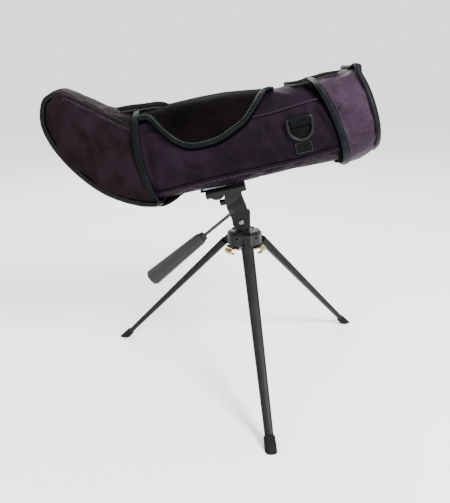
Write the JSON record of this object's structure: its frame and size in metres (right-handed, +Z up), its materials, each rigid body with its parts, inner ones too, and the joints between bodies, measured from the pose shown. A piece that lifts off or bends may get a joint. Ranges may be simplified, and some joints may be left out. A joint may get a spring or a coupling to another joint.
{
  "type": "spotting scope",
  "caption": "Angled spotting scope in a padded plum nylon stay-on case, on a small black table-top tripod with pan handle.",
  "frame": {"origin": "on the floor under the middle of the whole object", "axes": "+X towards the objective, +Y to the far side of the case, +Z up"},
  "size_m": [0.3627, 0.2944, 0.3461],
  "materials": {
    "black_metal": "satin black paint",
    "black_plastic": "moulded, satin",
    "rubber": "matt",
    "steel": "bright",
    "brass": "bright",
    "alloy": "machined",
    "scope_paint": "fine crackle",
    "glass": "polished, coated",
    "plum_nylon": "padded coated nylon with a sheen",
    "black_cloth": "napped",
    "webbing": "woven nylon webbing"
  },
  "bodies": {
    "tripod_hub": {"hub_body": "black_metal", "leg_stop_plate": "brass", "front_leg_pin": "steel", "right_leg_pin": "steel", "left_leg_pin": "steel"},
    "front_leg_body": {"front_leg": "black_metal", "front_foot": "rubber"},
    "right_leg_body": {"right_leg": "black_metal", "right_foot": "rubber"},
    "left_leg_body": {"left_leg": "black_metal", "left_foot": "rubber"},
    "pan_head": {"pan_base": "black_metal", "upright_bracket": "black_metal", "pan_bolt": "steel"},
    "scope_and_platform": {"neck_bracket": "black_metal", "tilt_bolt": "steel", "tilt_nut": "steel", "platform_boss": "black_plastic", "platform_clamp_screw": "black_plastic", "platform_plate": "black_plastic", "platform_pad": "rubber", "scope_foot": "alloy", "main_tube": "scope_paint", "objective_cell": "scope_paint", "objective_flint_lens": "glass", "objective_crown_lens": "glass", "lens_retaining_ring": "scope_paint", "rear_housing_left": "scope_paint", "rear_housing_right": "scope_paint", "prism_block": "glass", "prism_clamp": "alloy", "eyepiece_barrel": "scope_paint", "eyepiece_field_lens": "glass", "eyepiece_eye_lens": "glass", "case_sleeve": "plum_nylon", "ring_webbing_near": "webbing", "ring_webbing_far": "webbing"},
    "screw": {"camera_screw": "steel", "camera_screw_wheel": "black_plastic"},
    "pan_handle": {"handle_rod": "steel", "handle_collar": "black_plastic", "handle_grip": "black_plastic"},
    "focus_ring_body": {"focus_ring": "rubber"},
    "focus_slider": {"focus_carriage": "alloy", "focus_guide_pin": "steel", "focus_lens": "glass"},
    "zoom": {"zoom_ring": "rubber"},
    "eyecup_body": {"eyecup": "rubber"},
    "eyepiece_cap_body": {"eyepiece_cap": "black_plastic"},
    "sunshade_body": {"sunshade": "scope_paint"},
    "objective_cap_body": {"objective_cap": "rubber"},
    "front_cover": {"case_front_cover": "plum_nylon", "front_cover_strap": "black_cloth"},
    "hood": {"eyepiece_hood": "plum_nylon", "hood_top_strap": "black_cloth", "hood_bottom_strap": "black_cloth"},
    "flap": {"case_top_flap": "black_cloth"},
    "near_ring": {"d_ring_near": "black_plastic"},
    "far_ring": {"d_ring_far": "black_plastic"}
  },
  "joints": [
    {"name": "front_leg_fold", "type": "hinge", "parent": "tripod_hub", "child": "front_leg_body", "pos_m": [0.03064, 0.02157, 0.1629], "axis": [0.9956, 0.0941, 0], "range_deg": [0, 43]},
    {"name": "right_leg_fold", "type": "hinge", "parent": "tripod_hub", "child": "right_leg_body", "pos_m": [0.04181, 0.04598, 0.1629], "axis": [-0.5793, 0.8151, 0], "range_deg": [0, 43]},
    {"name": "left_leg_fold", "type": "hinge", "parent": "tripod_hub", "child": "left_leg_body", "pos_m": [0.01509, 0.04345, 0.1629], "axis": [-0.4163, -0.9092, 0], "range_deg": [0, 43]},
    {"name": "pan", "type": "hinge", "parent": "tripod_hub", "child": "pan_head", "pos_m": [0.02918, 0.037, 0.165], "axis": [0, 0, 1], "continuous": true},
    {"name": "tilt", "type": "hinge", "parent": "pan_head", "child": "scope_and_platform", "pos_m": [0.02545, 0.037, 0.1798], "axis": [0, -1, 0], "range_deg": [-35, 6]},
    {"name": "camera_screw_turn", "type": "hinge", "parent": "scope_and_platform", "child": "screw", "pos_m": [-0.00154, 0.037, 0.21056], "axis": [-0.2079, 0, 0.9781], "continuous": true},
    {"name": "handle_twist", "type": "hinge", "parent": "scope_and_platform", "child": "pan_handle", "pos_m": [0.01232, 0.0306, 0.18866], "axis": [-0.776, 0, -0.6307], "range_deg": [-90, 90]},
    {"name": "focus_ring_turn", "type": "hinge", "parent": "scope_and_platform", "child": "focus_ring_body", "pos_m": [-0.0507, 0.037, 0.25429], "axis": [0.9781, 0, 0.2079], "range_deg": [0, 270]},
    {"name": "focus_travel", "type": "slide", "parent": "scope_and_platform", "child": "focus_slider", "axis": [0.9781, 0, 0.2079], "range_m": [0, 0.0117]},
    {"name": "zoom_turn", "type": "hinge", "parent": "scope_and_platform", "child": "zoom", "pos_m": [-0.09765, 0.037, 0.24432], "axis": [-0.8387, 0, 0.5446], "range_deg": [0, 180]},
    {"name": "eyecup_slide", "type": "slide", "parent": "scope_and_platform", "child": "eyecup_body", "axis": [-0.8387, 0, 0.5446], "range_m": [0, 0.005]},
    {"name": "eyepiece_cap_slide", "type": "slide", "parent": "eyecup_body", "child": "eyepiece_cap_body", "axis": [-0.8387, 0, 0.5446], "range_m": [0, 0.004]},
    {"name": "sunshade_slide", "type": "slide", "parent": "scope_and_platform", "child": "sunshade_body", "axis": [0.9781, 0, 0.2079], "range_m": [0, 0.018]},
    {"name": "objective_cap_slide", "type": "slide", "parent": "sunshade_body", "child": "objective_cap_body", "axis": [0.9781, 0, 0.2079], "range_m": [0, 0.015]},
    {"name": "front_cover_slide", "type": "slide", "parent": "objective_cap_body", "child": "front_cover", "axis": [0.9781, 0, 0.2079], "range_m": [0, 0.07]},
    {"name": "hood_slide", "type": "slide", "parent": "scope_and_platform", "child": "hood", "axis": [-0.9781, 0, -0.2079], "range_m": [0, 0.09]},
    {"name": "flap_hinge", "type": "hinge", "parent": "scope_and_platform", "child": "flap", "pos_m": [-0.01363, 0.0616, 0.31554], "axis": [-0.9781, 0, -0.2079], "range_deg": [0, 150]},
    {"name": "near_ring_swing", "type": "hinge", "parent": "scope_and_platform", "child": "near_ring", "pos_m": [0.08316, -0.0136, 0.29788], "axis": [-0.9781, 0, -0.2079], "range_deg": [0, 150]},
    {"name": "far_ring_swing", "type": "hinge", "parent": "scope_and_platform", "child": "far_ring", "pos_m": [0.08316, 0.0876, 0.29788], "axis": [0.9781, 0, 0.2079], "range_deg": [0, 150]}
  ],
  "couplings": [
    {"joint": "focus_ring_turn", "follows": "focus_travel", "rad_per_m": 400}
  ]
}
